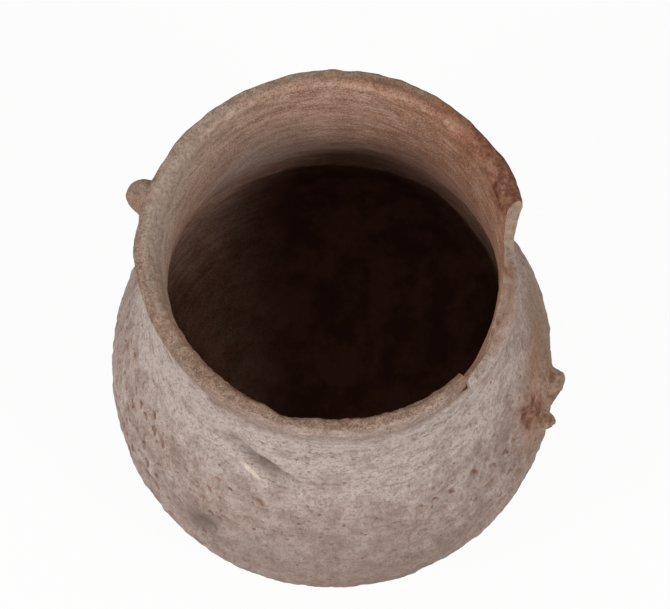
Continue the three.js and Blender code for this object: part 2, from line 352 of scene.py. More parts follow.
# The inner face.
def inner_relief(along, turns):
    """How far the inner face lies out from its plain skin."""
    place = on_skin(along, -WALL, turns * FULL_TURN)
    upper = smooth(along, BODY_END - 30, BODY_END)
    relief = 0.3 * uneven(place, 30, 51) + 0.16 * uneven(place, 6, 61)
    below_break = smooth(along, NECK_END - 16, NECK_END - 4) * (along <= NECK_END + 0.01)
    relief = relief + 3.0 * bulge(turns, -37, 9) * below_break
    at_lip = smooth(along, LENGTH - 16, LENGTH - 3)
    relief = relief - at_lip * bulges(turns, (2.3, -138, 34), (1.5, -88, 26), (-1.2, -105, 5))
    return relief + (0.05 + 0.1 * upper) * wiped_lines(place, 71)


def inner_masks(along, turns, height):
    """The masks that colour the inner face: rust below the rim, soot and painted shade in the body, lighter
    clay and painted light, and redder clay.
    """
    rust = spots(
        along, turns, (0.4, LENGTH - 4, 18, 8, 10), (0.25, LENGTH - 6, 36, 14, 6),
        (0.5, NECK_END - 2, 0, 14, 4), (0.5, NECK_END, -36, 9, 7))
    place = on_skin(along, -WALL, turns * FULL_TURN)
    # Below this line round the jar the wall is dark with soot and painted shade: the line follows where the
    # inner wall falls into shade.
    soot_and_shade_line = np.interp((turns * 360) % 360, (28, 60, 118, 150), (40, 75, 77, 42)) + lumps(place, 14, 151)
    soot = (1 - smooth(height - soot_and_shade_line, -2, 3)) * (0.12 + 0.88 * smooth(place[..., 0], -62, -12))
    # Painted shade: a darker band high on the back-right inner wall.
    soot = np.maximum(soot, 0.68 * bulge(turns, 67, 30) * np.exp(-(((height - 130) / 29) ** 2)))
    # Lighter clay high on the left; the band at the back-left is painted light, where light reaches deeper
    # into the jar.
    pale_and_lit = bulge(turns, 165, 45) * smooth(height, 150, 190)
    pale_and_lit = pale_and_lit + 0.9 * bulge(turns, 120, 24) * smooth(height, 90, 125) * (1 - smooth(height, 155, 182))
    redder = 0.5 * bulge(turns, 30, 40) * smooth(height, 110, 160)
    redder = redder + 0.25 * bulge(turns, 56, 22) * smooth(height, 182, 194)
    return {"inner": 1.0, "rust": np.clip(rust, 0, 1), "soot": soot, "crest": pale_and_lit, "brown": redder}


# From rings to pieces.
def all_masks(shape, **values):
    """Every mask over one shape: those that are given, and 0 for the rest."""
    return {mask: np.broadcast_to(values.get(mask, 0.0), shape) for mask in MASKS}


def joined_masks(parts, faces):
    """Every mask of faces that lie side by side in one section."""
    each = [all_masks(face.shape[:2], **part) for part, face in zip(parts, faces)]
    return {mask: np.concatenate([part[mask] for part in each], axis=1) for mask in MASKS}


def hang_mask(piece, mask, values):
    layer = piece.data.attributes.new(mask, "FLOAT", "POINT")
    layer.data.foreach_set("value", np.asarray(values, np.float32).reshape(-1))


def grid_mesh(name, rings, masks):
    """A flat grid, rolled so that its rows are the rings, its long edges joined and its ends filled."""
    rows, across = rings.shape[:2]
    bpy.ops.object.select_all(action="DESELECT")
    bpy.ops.mesh.primitive_grid_add(x_subdivisions=across, y_subdivisions=rows - 1, size=0.1)
    piece = bpy.context.active_object
    piece.name = piece.data.name = name
    rolled = np.concatenate([rings, rings[:, :1]], axis=1) * MM
    piece.data.vertices.foreach_set("co", rolled.reshape(-1))
    for mask, values in masks.items():
        hang_mask(piece, mask, np.concatenate([values, values[:, :1]], axis=1))
    piece.data.update()
    bpy.ops.object.mode_set(mode="EDIT")
    bpy.ops.mesh.select_all(action="SELECT")
    bpy.ops.mesh.remove_doubles(threshold=2e-6)
    bpy.ops.mesh.select_all(action="SELECT")
    bpy.ops.mesh.fill_holes(sides=0)
    bpy.ops.mesh.select_all(action="SELECT")
    bpy.ops.mesh.normals_make_consistent(inside=False)
    bpy.ops.object.mode_set(mode="OBJECT")
    bpy.ops.object.shade_smooth_by_angle(angle=math.radians(42))
    return piece


def set_piece(piece, nodes, slot):
    """Give a finished piece its clay and its place in the jar."""
    piece.data.materials.clear()
    piece.data.materials.append(finishes[slot])
    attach(piece, "root")
    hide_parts(*nodes)


# The ropes of body and neck.
def exposed(turns):
    """1 where the rim coil is gone, between the sides of the break, and 0 for the rest."""
    degrees = degrees_from(turns, 0)
    return smooth(degrees, BREAK_FROM + 0.4, BREAK_FROM + 2.5) * (1 - smooth(degrees, 0.5, 3.4))


def seam_face(first, last, turns, points, bare, old):
    """The face across the wall from one skin to the other, rough where it is bare, and its masks."""
    between = np.linspace(0, 1, points)[1:-1][None, :, None]
    face = first[:, None] * (1 - between) + last[:, None] * between
    arch = np.sin(between[..., 0] * math.pi)
    rough = 0.25 + 0.55 * uneven(face, 5, 91) + 0.35 * lumps(face, 1.5, 95)
    face[..., 2] += bare * arch**0.5 * (rough + 0.7 * arch)
    stain = bare * (0.1 + 0.3 * old + 0.35 * bulge(turns, -8, 9)) * (1 + 1.1 * lumps(face, 4, 97))
    return face, {"broken": bare * (1 - 0.85 * old), "rust": np.clip(stain, 0, 1), "lip": 0.45 * old * bare}


def wall_rings(turns, low, high, bare):
    """Rings round the section of a turn between its two seams, outer face first, and their masks."""
    angle = turns * FULL_TURN
    old = 1 - smooth(degrees_from(turns, 0), -24, -4)
    outer_edge, inner_edge = on_skin(high, 0, angle), on_skin(high, -WALL, angle)
    edge_wear = bare * (1.0 + 0.8 * lumps(outer_edge, 6, 81) - 4.5 * bulge(turns, 3, 2.2))
    inner_bevel = bare * (0.5 + 2.0 * bulge(turns, -37, 9) + 0.5 * lumps(inner_edge, 4, 82))
    rounded = bare * (1.5 + 1.5 * old + 0.6 * lumps(outer_edge, 4, 83))

    share = np.linspace(0, 1, OUTER_POINTS)[None, :]
    bottom, top = low - LAP, high - LAP - edge_wear
    along = bottom + (top - bottom) * share
    relief, masks = outer_relief(along, turns, share)
    relief = relief - rounded * smooth(share, 0.5 - 0.2 * old, 1.0) ** 2
    torn = smooth(share + 0.15 * lumps(on_skin(along, 0, angle), 4, 84), 0.5, 0.95)
    masks["broken"] = bare * torn * (0.8 - 0.7 * old)
    outer = on_skin(along, relief, angle)

    down = np.linspace(1, 0, INNER_POINTS)[None, :]
    along = low + (high - inner_bevel - low) * down
    inner = on_skin(along, inner_relief(along, turns) - WALL, angle)
    lining = inner_masks(along, turns, inner[..., 2])

    points = 9 if bare.any() else 3
    upper, upper_masks = seam_face(outer[:, -1], inner[:, 0], turns, points, bare, old)
    under, under_masks = seam_face(inner[:, -1], outer[:, 0], turns, points, bare * 0, old)
    faces = (outer, upper, inner, under)
    masks = joined_masks((masks, upper_masks, lining, under_masks), faces)
    return np.concatenate(faces, axis=1), masks


def stations(first, last, steps):
    """Even places along a rope in turns. Its two ends are moved to the nearest of them."""
    return np.arange(round(first * steps), round(last * steps) + 1)[:, None] / steps


def lay_rope(node, first, last, slot):
    """Lay one rope, from so many turns to so many turns. The last turn runs out level under the rim."""
    steps = STEPS_ROUND if seam_at(np.array(last)) > 60 else STEPS_ROUND // 2
    turns = stations(first, last, steps)
    if first < ALL_TURNS - 1:
        high, bare = seam_at(turns + 1), np.zeros_like(turns)
    else:
        high, bare = np.full_like(turns, NECK_END), exposed(turns)
    rings, masks = wall_rings(turns, seam_at(turns), high, bare)
    set_piece(grid_mesh(node + "_clay", rings, masks), [node], slot)


# The rim.
def rim_section():
    """The rim coil's section as (along, out) pairs: up the outside, over the rounded lip and down inside."""
    outside, inside, crest = 2.4, 6.5, 2.3
    foot = NECK_END - LAP
    side = np.linspace(0, 1, OUTER_POINTS + 4)[:-1]
    section = [(foot + (LENGTH - outside - NECK_END + LAP) * s, 0.0) for s in side]
    for t in np.linspace(0, math.pi / 2, 10):
        section.append((LENGTH - outside * (1 - math.sin(t)), crest * (math.cos(t) - 1)))
    for t in np.linspace(0, math.pi / 2, 18)[1:]:
        section.append((LENGTH - inside * (1 - math.cos(t)), -crest - (WALL - crest) * math.sin(t)))
    for s in np.linspace(0, 1, 8)[1:]:
        section.append((LENGTH - inside - (LENGTH - inside - NECK_END) * s, -WALL))
    for s in np.linspace(0, 1, 4)[1:-1]:
        section.append((NECK_END - LAP * s, -WALL * (1 - s)))
    return np.array(section)


def rim_masks(along, turns, inward, place, height, masks):
    """The outer face's masks led over the lip, where they give way to the inner face's."""
    inside = inner_masks(along, turns, height)
    ragged = uneven(place, 7, 161) + 0.5 * lumps(place, 1.6, 165)
    mottled = 0.85 + 0.25 * ragged
    towards_lip = smooth(along, NECK_END - 1, LENGTH - 3)
    on_top = np.maximum(masks["lip"], smooth(inward + 0.14 * ragged, 0.12, 0.42))
    far_side = smooth(np.sin(turns * FULL_TURN), -0.3, 0.2)
    back = 0.5 * bulge(turns, 72, 42)
    deep_in = inward + 0.12 * ragged
    lining = smooth(deep_in + 0.16 * (LENGTH - along) / WALL, 0.86 - back, 1.12 - back)
    lining = lining * (0.25 + 0.75 * far_side)

    rust = 1.1 * bulge(turns, 24, 18) * mottled * smooth(along, LENGTH - 13, LENGTH - 3)
    rust = rust * (1 - 0.3 * smooth(inward, 0.6, 1.0))
    rust = rust + 0.85 * bulge(turns, 44, 15) * (1 - smooth(inward, 0.35, 0.85)) * mottled * towards_lip
    inner_edge = bulge(turns, -108, 48) * smooth(inward, 0.76, 0.96) * smooth(along, LENGTH - 9, LENGTH - 5)
    rust = rust + inner_edge * (0.55 + 0.5 * ragged)
    rust = rust + spots(
        along, turns, (0.5, LENGTH - 2, 19, 5, 7), (0.6, LENGTH - 2, BREAK_FROM - 1.5, 3.2, 3))
    rust = rust + masks["rust"] * (1 - inward) + inside["rust"] * smooth(inward, 0.1, 0.5)

    brown = masks["brown"] * (1 - inward) + inside["brown"] * inward
    brown = brown + 0.6 * bulge(turns, 205, 38) * (1 - lining) * towards_lip
    brown = brown + 0.6 * bulge(turns, 66, 46) * (1 - smooth(inward, 0.4, 1.0)) * towards_lip
    # Painted shade on the inner side of the rim, towards the back-right and the back.
    shaded = bulges(turns, (0.6, 58, 22), (0.22, 100, 40)) * (1 - smooth(inward, 0.6, 0.95))
    return dict(
        masks,
        inner=lining,
        soot=np.clip(inside["soot"] + shaded, 0, 1),
        crest=masks["crest"] * (1 - inward) + inside["crest"] * inward,
        brown=np.clip(brown, 0, 1),
        rust=np.clip(rust, 0, 1),
        lip=on_top * (1 - lining**3),
        bevel=smooth(deep_in, 0.3, 0.6) * bulge(turns, 162, 36) * smooth(along, LENGTH - 12, LENGTH - 7),
    )


def rim_rings():
    """Rings round the rim coil's section, from one side of the break to the other, and their masks."""
    along, out = (column[None, :] for column in rim_section().T)
    raised = (along - NECK_END) / RIM_TALL
    start = BREAK_TO + BREAK_TO_LEAN * raised - 0.8 * smooth(-raised, -0.1, 0.24)
    end = 360 + BREAK_FROM - BREAK_FROM_LEAN * raised
    share = np.linspace(0, 1, int(STEPS_ROUND * (360 + BREAK_FROM - BREAK_TO) / 360))[:, None]
    turns = (start + (end - start) * share) / 360
    angle = turns * FULL_TURN
    relief, masks = outer_relief(along, turns + ALL_TURNS - 1, np.full_like(along, 0.5))
    inward = np.clip(-out / WALL, 0, 1)
    place = on_skin(along, out, angle)

    below_lip = 1 - smooth(along, LENGTH - 2.5, LENGTH - 0.3)
    frayed = 0.45 * lumps(place, 1.7, 167) * smooth(inward, 0.5, 0.9) * smooth(along, LENGTH - 8, LENGTH - 4)
    out = out + relief * (1 - inward) + inner_relief(along, turns) * inward * below_lip + frayed
    near_end = smooth(turns * 360, 360 + BREAK_FROM - 9, 360 + BREAK_FROM)
    droop = 0.7 * np.maximum(along - NECK_END, 0) * (1 - inward) ** 1.5 * near_end
    rings = on_skin(along - droop, out, angle)

    lip_place = on_skin(LENGTH, -WALL / 2, angle)
    wobble = 0.45 * lumps(lip_place, 33, 121) + 0.35 * lumps(lip_place, 11, 122) - 0.45
    grit = 0.2 * uneven(place, 5, 101) + 0.1 * lumps(place, 1.3, 111)
    rolled_off = 2.2 * smooth(-np.sin(angle), -0.1, 0.5) * (1 - inward) ** 1.7
    rings[..., 2] += smooth(along, LENGTH - 5, LENGTH - 0.5) * (wobble + grit - rolled_off)
    ceiling = JAR_HEIGHT - 0.05 + np.minimum(0, wobble * 0.6 + grit)
    rings[..., 2] = np.minimum(rings[..., 2], ceiling)
    masks = rim_masks(along, turns, inward, place, rings[..., 2], masks)
    return rings, all_masks(rings.shape[:2], **masks)


def torn_cap(ring, beside, seed):
    """Rings that close a torn end: the last section drawn in to its middle, rough as broken clay is."""
    outward = (ring - beside).mean(axis=0)
    outward = outward / np.linalg.norm(outward)
    middle = ring.mean(axis=0)
    rings = []
    for scale in (0.93, 0.8, 0.62, 0.42, 0.22, 0.06):
        drawn = middle + (ring - middle) * scale
        rough = 0.35 * uneven(drawn, 5, seed) + 0.2 * lumps(drawn, 1.4, seed + 5) + 0.35 * (1 - scale)
        rings.append(drawn + outward * rough[:, None])
    return np.array(rings)


def lay_rim(slot):
    rings, masks = rim_rings()
    head, tail = torn_cap(rings[0], rings[1], 131)[::-1], torn_cap(rings[-1], rings[-2], 141)
    torn = all_masks(head.shape[:2], broken=1.0)
    masks = {mask: np.concatenate([torn[mask], masks[mask], torn[mask]]) for mask in MASKS}
    set_piece(grid_mesh("rim_coil_clay", np.concatenate([head, rings, tail]), masks), ["rim_coil"], slot)


# The base, the lug and the handle's root.
def lay_start_disc(slot):
    """The flat disc in the middle of the base. The first rope winds out from its edge."""
    turns = stations(0, 1, STEPS_ROUND // 2)
    angle = turns * FULL_TURN
    edge = seam_at(turns)
    kept = START_DISC - 1.0
    even = kept * np.linspace(0, 1, 12)[None, :] + 0 * turns
    share = np.linspace(0, 1, 6)[None, 1:]
    under = np.concatenate([even, kept + (edge - LAP - kept) * share], axis=1)
    under = np.minimum(under, edge - LAP)
    above = np.concatenate([even, kept + (edge - kept) * share], axis=1)[:, ::-1]
    relief, masks = outer_relief(under, turns, np.full_like(under, 0.5))
    bottom = on_skin(under, relief, angle)
    top = on_skin(above, inner_relief(above, turns) - WALL, angle)
    masks = joined_masks((masks, inner_masks(above, turns, top[..., 2])), (bottom, top))
    piece = grid_mesh("base_start_disc_clay", np.concatenate([bottom, top], axis=1), masks)
    set_piece(piece, ["base_start_disc"], slot)


def press_lug(slot):
    """A ball of clay pressed on the rim and drawn out, squarer than a ball and rough."""
    reach, half_wide, half_tall = LUG_SIZE
    sunk, squareness = 3.5, 2.6
    angle = math.radians(LUG_ANGLE)
    outward = np.array([math.cos(angle), math.sin(angle), 0])
    sideways, upward = np.array([-outward[1], outward[0], 0]), np.array([0, 0, 1.0])
    bpy.ops.object.select_all(action="DESELECT")
    bpy.ops.mesh.primitive_uv_sphere_add(segments=128, ring_count=72, radius=1)
    piece = bpy.context.active_object
    piece.name = piece.data.name = "rim_lug_clay"
    ball = np.empty(len(piece.data.vertices) * 3)
    piece.data.vertices.foreach_get("co", ball)
    ball = ball.reshape(-1, 3)
    square = ball / (np.abs(ball) ** squareness).sum(axis=1, keepdims=True) ** (1 / squareness)
    place = on_skin(LENGTH - LUG_DROP, 0.0, angle)
    place = place + square[:, :1] * np.where(square[:, :1] > 0, reach, sunk) * outward
    place = place + square[:, 1:2] * half_wide * sideways + square[:, 2:] * half_tall * upward
    rough = 0.55 * uneven(place, 8, 181) + 0.16 * lumps(place, 2, 185) + 0.1 * lumps(place, 1.1, 186)
    place = place + ball * (rough[:, None] - 0.25)
    place = place + np.array([0, 0.8, -0.6]) * smooth(square[:, :1], 0.2, 1.0)
    place = place - outward * 1.4 * smooth(square[:, 1:2], 0.2, 1.0) * smooth(square[:, :1], 0.0, 0.8)
    place[:, 2] = np.minimum(place[:, 2], JAR_HEIGHT - 0.1)
    piece.data.vertices.foreach_set("co", (place * MM).reshape(-1))
    for mask, values in all_masks(len(place), lip=0.7, rust=0.3 * smooth(place[:, 1], 25, 18)).items():
        hang_mask(piece, mask, values)
    piece.data.update()
    bpy.ops.object.shade_smooth_by_angle(angle=math.radians(60))
    set_piece(piece, ["rim_lug"], slot)


def break_stump(node, slot, degrees, wide, tall, reach, skew, seed):
    """What is left of a strand: its swollen foot in the wall, and a rough slanted break."""
    along = np.interp(JAR_HEIGHT - ROOT_DROP, HEIGHT[CURVE_POINTS:], RUN[CURVE_POINTS:])
    angle = math.radians(degrees)
    outward = np.array([math.cos(angle), math.sin(angle), 0])
    sideways, upward = np.array([-outward[1], outward[0], 0]), np.array([0, 0, 1.0])
    axis = outward * math.cos(ROOT_LEAN) + upward * math.sin(ROOT_LEAN)
    across = upward * math.cos(ROOT_LEAN) - outward * math.sin(ROOT_LEAN)
    sunk = 5.0
    around = np.linspace(0, FULL_TURN, 97)[None, :-1]
    length = -sunk + (reach + sunk) * np.linspace(0, 1, 48)[:, None]
    proud = np.clip(length / reach, 0, 1)
    width = 0.36 + 0.74 * (1 - proud) ** 0.9 - 0.08 * smooth(proud, 0.88, 1.0)
    grown = np.cos(around) * wide / 2 * width - skew * (1 - proud)
    risen = np.sin(around) * tall / 2 * width
    length = length + risen * math.tan(BREAK_SLANT) * proud
    place = on_skin(along, 0.0, angle) + length[..., None] * axis
    place = place + grown[..., None] * sideways + risen[..., None] * across
    from_axis = np.cos(around)[..., None] * sideways + np.sin(around)[..., None] * across
    rough = 0.5 * uneven(place, 4.5, seed) + 0.2 * lumps(place, 1.6, seed + 4)
    place = place + from_axis * rough[..., None]
    rings, broken = [place], [smooth(proud + 0 * around, 0.8, 1.0)]
    centre = place[-1].mean(axis=0)
    for scale in (0.9, 0.76, 0.6, 0.44, 0.28, 0.12, 0.03):
        face = centre + (place[-1] - centre) * scale
        dip = 0.45 * uneven(face, 4, seed + 6) + 0.22 * lumps(face, 1.4, seed + 9) + 0.25 * (1 - scale)
        rings.append((face + axis * dip[:, None])[None])
        broken.append(np.ones((1, around.shape[1])))
    rings, broken = np.concatenate(rings), np.concatenate(broken)
    foot = 1 - smooth(np.linspace(0, 1, len(rings))[:, None], 0.35, 0.8)
    masks = all_masks(rings.shape[:2], broken=broken * 0.85, root=1.0, rust=foot * 0.35)
    set_piece(grid_mesh(node + "_clay", rings, masks), [node], slot)


def wall_surface(along, degrees):
    """How far the body's outer face stands out at any place, with all its relief, and its masks."""
    whole = (along + LAP - START_DISC) / BODY_STEP
    part_turn = degrees / 360
    turns = np.floor(whole - part_turn) + part_turn
    return outer_relief(along, turns, np.clip(whole - turns, 0, 1))


def smear_root(slot):
    """The clay thumbed over the wall round the handle's foot, thinning out to nothing at its edge."""
    middle_along, middle_degrees, radius = 160, -15.5, 86
    out_to_edge, back_under = 48, 11
    around = np.linspace(0, FULL_TURN, 241)[None, :-1]
    share = np.linspace(0.02, 1, out_to_edge) ** 0.8
    share = np.concatenate([share, np.linspace(1, 0.03, back_under + 1)[1:]])[:, None]
    under = (np.arange(len(share)) >= out_to_edge)[:, None]
    ring = np.stack([np.cos(around), np.sin(around), 0 * around], axis=-1)
    edge = 1 + 0.22 * uneven(ring, 0.9, 191) + 0.08 * lumps(ring, 0.22, 195)
    wide, tall = 15.5 * edge, 20.0 * edge
    along = middle_along + share * np.sin(around) * tall
    sideways = np.degrees(share * np.cos(around) * wide / radius)
    degrees = middle_degrees + sideways - 0.25 * (along - middle_along)
    relief, masks = wall_surface(along, degrees)
    place = on_skin(along, 0, np.radians(degrees))
    thick = 1.7 + 0.7 * uneven(place, 8, 197) + 0.35 * lumps(place, 2.6, 198)
    thick = thick * (1 - share**2.5) - 0.3 * share**3
    rings = on_skin(along, np.where(under, -1.2, relief + thick + 0.1), np.radians(degrees))
    tone = (1 - smooth(share, 0.55, 1.0)) * (0.75 + 0.35 * lumps(place, 5, 199))
    masks["root"] = np.clip(np.maximum(tone, masks["root"]), 0, 1)
    piece = grid_mesh("handle_root_smear_clay", rings, all_masks(rings.shape[:2], **masks))
    set_piece(piece, ["handle_root_smear"], slot)


# Materials.
class Wire:
    """An output socket of a node. Sums and products of wires and numbers add their Math nodes."""

    def __init__(self, nodes, socket):
        self.nodes = nodes
        self.socket = socket

    def maths(self, operation, first, second):
        return self.nodes.node("ShaderNodeMath", {"operation": operation}, {0: first, 1: second})

    def __add__(self, other):
        return self.maths("ADD", self, other)

    __radd__ = __add__

    def __sub__(self, other):
        return self.maths("SUBTRACT", self, other)

    def __rsub__(self, other):
        return self.maths("SUBTRACT", other, self)

    def __mul__(self, other):
        return self.maths("MULTIPLY", self, other)

    __rmul__ = __mul__

    def or_more(self, other):
        return self.maths("MAXIMUM", self, other)

    def rising(self, low, high):
        """0 below low, 1 above high, and smooth between."""
        sockets = {"Value": self, "From Min": low, "From Max": high}
        return self.nodes.node("ShaderNodeMapRange", {"interpolation_type": "SMOOTHSTEP"}, sockets)

    def falling(self, low, high):
        return 1 - self.rising(low, high)


class Nodes:
    """The nodes of a material or of the world while they are laid out."""

    def __init__(self, tree):
        self.tree = tree
        self.tree.nodes.clear()

    def node(self, kind, settings, sockets, result=0):
        made = self.tree.nodes.new(kind)
        for setting, value in settings.items():
            setattr(made, setting, value)
        for name, value in sockets.items():
            if isinstance(value, Wire):
                self.tree.links.new(value.socket, made.inputs[name])
            else:
                made.inputs[name].default_value = value
        return Wire(self, made.outputs[result] if made.outputs else None)

    def seen_by(self, first, *others):
        """1 for these kinds of ray, and 0 for the rest."""
        seen = self.node("ShaderNodeLightPath", {}, {}, first)
        for ray in others:
            seen = seen.or_more(self.node("ShaderNodeLightPath", {}, {}, ray))
        return seen


class Finish(Nodes):
    """A material of its own, with the patterns that its colours need."""

    def __init__(self, name):
        self.material = bpy.data.materials.new(name)
        self.material.use_nodes = True
        super().__init__(self.material.node_tree)

    def place(self, stretch=(1, 1, 1)):
        spot_on = self.node("ShaderNodeTexCoord", {}, {}, "Object")
        return self.node("ShaderNodeMapping", {}, {"Vector": spot_on, "Scale": stretch})

    def mask(self, name):
        return self.node("ShaderNodeAttribute", {"attribute_name": name}, {}, "Fac")

    def clouds(self, size, detail=2.0, roughness=0.5, stretch=(1, 1, 1)):
        sockets = {"Vector": self.place(stretch), "Scale": 1 / (size * MM)}
        sockets.update({"Detail": detail, "Roughness": roughness})
        return self.node("ShaderNodeTexNoise", {}, sockets, "Fac")

    def grains(self, size, result="Distance"):
        sockets = {"Vector": self.place(), "Scale": 1 / (size * MM)}
        return self.node("ShaderNodeTexVoronoi", {}, sockets, result)

    def blend(self, share, first, second):
        return self.node("ShaderNodeMix", {"data_type": "RGBA"}, {0: share, 6: first, 7: second}, 2)

    def coats(self, colour, *coats):
        """One colour under coats of others, each given as the share that it covers and its colour."""
        for share, coat in coats:
            colour = self.blend(share, colour, coat)
        return colour


def paint(red, green, blue):
    """A colour as the eye reads it, from 0 to 255, as the linear values that the shader takes."""
    def linear(value):
        value /= 255
        return value / 12.92 if value <= 0.04045 else ((value + 0.055) / 1.055) ** 2.4
    return (linear(red), linear(green), linear(blue), 1.0)


# The third colour is rubbed clay, also laid on as painted light.
GREY_CLAY, WARM_CLAY, RUBBED_AND_LIT_CLAY = paint(156, 138, 130), paint(166, 145, 135), paint(194, 179, 172)
# BROWNED_CLAY is browner clay; the second colour here is painted shade for the front low on the body.
BROWNED_CLAY, PAINTED_SHADE_CLAY = paint(146, 117, 98), paint(126, 107, 98)
DARK_MOTTLE, DARK_SPECKLE, DARK_STREAK = paint(132, 110, 96), paint(114, 90, 75), paint(122, 104, 94)
DARK_PIT, DARK_GRIT, DARK_TEMPER = paint(112, 90, 78), paint(110, 88, 75), paint(96, 68, 52)
# Colours for the dents: brown stain, partly painted shade.
DENT_BROWN, DENT_TAN = paint(106, 72, 55), paint(142, 106, 84)
# Smoke grey, also used as painted shade under the welt.
SMOKE_AND_SHADE = paint(96, 80, 72)
ROOT_BROWN, ROOT_TAN, ROOT_SPECKLE = paint(132, 100, 80), paint(172, 146, 128), paint(104, 70, 50)
LIP_GREY, LIP_PALE, LIP_GRAIN = paint(128, 103, 85), paint(160, 136, 118), paint(212, 196, 178)
LIP_BROWN, LIP_TAN, LIP_GRIT = paint(116, 88, 68), paint(142, 114, 94), paint(92, 68, 52)
LINING_RED, LINING_PINK = paint(162, 122, 100), paint(183, 148, 128)
LINING_BROWN, LINING_PALE_AND_LIT, LINING_PIT = paint(146, 90, 66), paint(186, 168, 154), paint(84, 56, 44)
WIPED_DARK, WIPED_PALE = paint(112, 80, 66), paint(202, 174, 156)
LINING_GRIT, LINING_GRAIN = paint(92, 64, 52), paint(204, 180, 164)
# Colours for soot and painted shade inside the jar.
SOOT_AND_SHADE_DARK, SOOT_AND_SHADE_BROWN = paint(80, 52, 42), paint(104, 72, 58)
BEVEL_GREY, BEVEL_PALE = paint(144, 126, 112), paint(170, 154, 140)
TORN_BROWN, TORN_PALE, TORN_GRIT = paint(136, 114, 98), paint(158, 140, 126), paint(108, 82, 66)
RUST, DEEP_RUST = paint(160, 108, 76), paint(98, 55, 36)
SCRAPED = paint(218, 200, 184)


